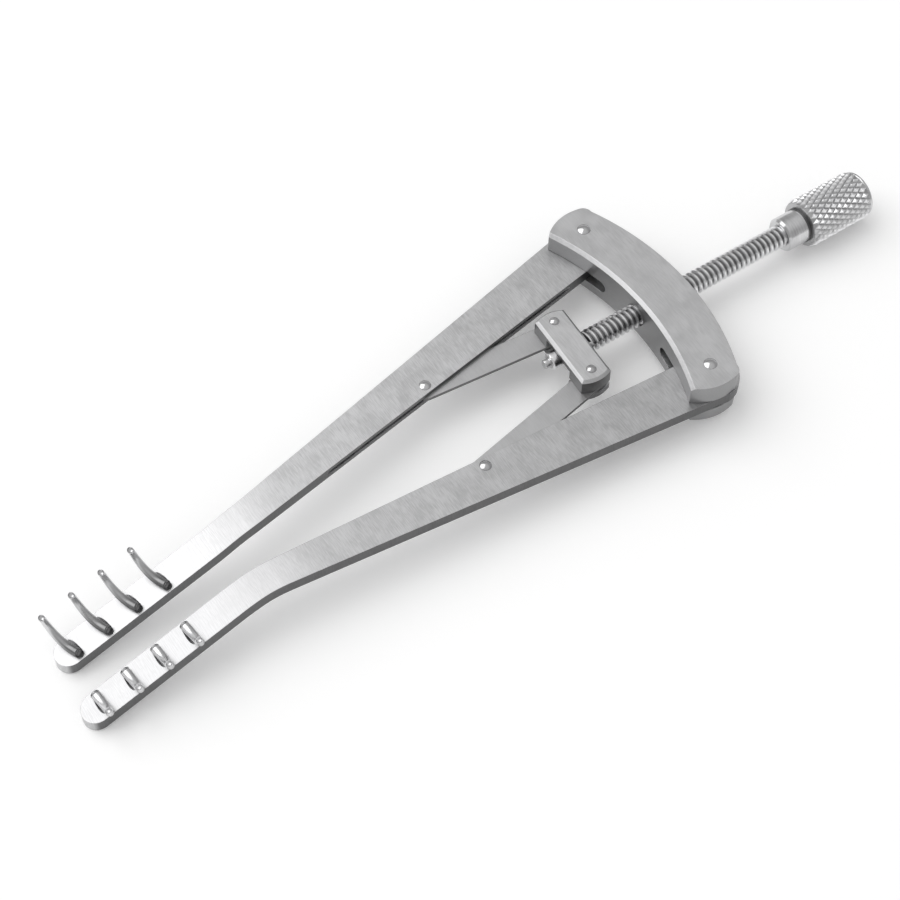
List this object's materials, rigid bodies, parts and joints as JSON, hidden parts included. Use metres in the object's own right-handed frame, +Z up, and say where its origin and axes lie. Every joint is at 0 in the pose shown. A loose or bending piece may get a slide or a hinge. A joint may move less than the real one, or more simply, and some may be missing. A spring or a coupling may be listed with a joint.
{
  "type": "self retaining wound retractor",
  "caption": "Screw-driven wound retractor: two hinged arms with blunt upturned prongs, spread by a crosshead and links that a knurled thumb knob pushes forward.",
  "frame": {"origin": "centre of the bounding box's bottom face, on the table on which the tool lies on its arm tips and its knob", "axes": "+X from the arm tips to the knob, +Y from the near arm to the far arm, +Z up, the way the prongs point"},
  "size_m": [0.1012, 0.0276, 0.0072],
  "materials": {
    "bracket_steel": "fine brushed",
    "arm_steel": "brushed across the bar",
    "prong_steel": "polished",
    "rivet_steel": "polished dome",
    "crosshead_steel": "fine brushed",
    "link_steel": "fine brushed",
    "screw_steel": "bright turned",
    "collar_steel": "bright turned",
    "sleeve_steel": "bright turned",
    "knob_steel": "knurled and satin"
  },
  "bodies": {
    "bracket": {"bracket": "bracket_steel", "pivot_pin_far": "rivet_steel", "pivot_pin_near": "rivet_steel"},
    "crosshead": {"crosshead": "crosshead_steel", "crosshead_rivet_far": "rivet_steel", "crosshead_rivet_near": "rivet_steel"},
    "screw": {"screw": "screw_steel", "retaining_collar": "collar_steel", "neck_sleeve": "sleeve_steel", "knob": "knob_steel"},
    "arm_far": {"arm_far": "arm_steel", "arm_rivet_far": "rivet_steel", "prong_far_1": "prong_steel", "prong_far_2": "prong_steel", "prong_far_3": "prong_steel", "prong_far_4": "prong_steel"},
    "arm_near": {"arm_near": "arm_steel", "arm_rivet_near": "rivet_steel", "prong_near_1": "prong_steel", "prong_near_2": "prong_steel", "prong_near_3": "prong_steel", "prong_near_4": "prong_steel"},
    "link_far": {"link_far": "link_steel"},
    "link_near": {"link_near": "link_steel"}
  },
  "joints": [
    {"name": "crosshead_slide", "type": "slide", "parent": "bracket", "child": "crosshead", "axis": [-0.9995, 0, 0.0313], "range_m": [-0.00015, 0.004]},
    {"name": "screw_turn", "type": "hinge", "parent": "crosshead", "child": "screw", "pos_m": [0.02084, -0.00003, 0.00369], "axis": [-0.9995, 0, 0.0313], "range_deg": [-84.08, 2216.39]},
    {"name": "arm_far_swing", "type": "hinge", "parent": "bracket", "child": "arm_far", "pos_m": [0.02084, 0.01087, 0.00369], "axis": [0.0313, 0, 0.9995], "range_deg": [-19.46, 0.87]},
    {"name": "arm_near_swing", "type": "hinge", "parent": "bracket", "child": "arm_near", "pos_m": [0.02084, -0.01093, 0.00369], "axis": [0.0313, 0, 0.9995], "range_deg": [-0.85, 18.78]},
    {"name": "link_far_swing", "type": "hinge", "parent": "arm_far", "child": "link_far", "pos_m": [-0.00386, 0.00457, 0.00467], "axis": [0.0313, 0, 0.9995], "range_deg": [-14.89, 0.7]},
    {"name": "link_near_swing", "type": "hinge", "parent": "arm_near", "child": "link_near", "pos_m": [-0.00436, -0.0071, 0.00468], "axis": [0.0313, 0, 0.9995], "range_deg": [-0.72, 15.38]}
  ],
  "couplings": [
    {"joint": "screw_turn", "follows": "crosshead_slide", "rad_per_m": 9666.4},
    {"joint": "arm_far_swing", "follows": "crosshead_slide", "rad_per_m": -84.27},
    {"joint": "arm_near_swing", "follows": "crosshead_slide", "rad_per_m": 81.29},
    {"joint": "link_far_swing", "follows": "crosshead_slide", "rad_per_m": -64.32},
    {"joint": "link_near_swing", "follows": "crosshead_slide", "rad_per_m": 66.47}
  ]
}
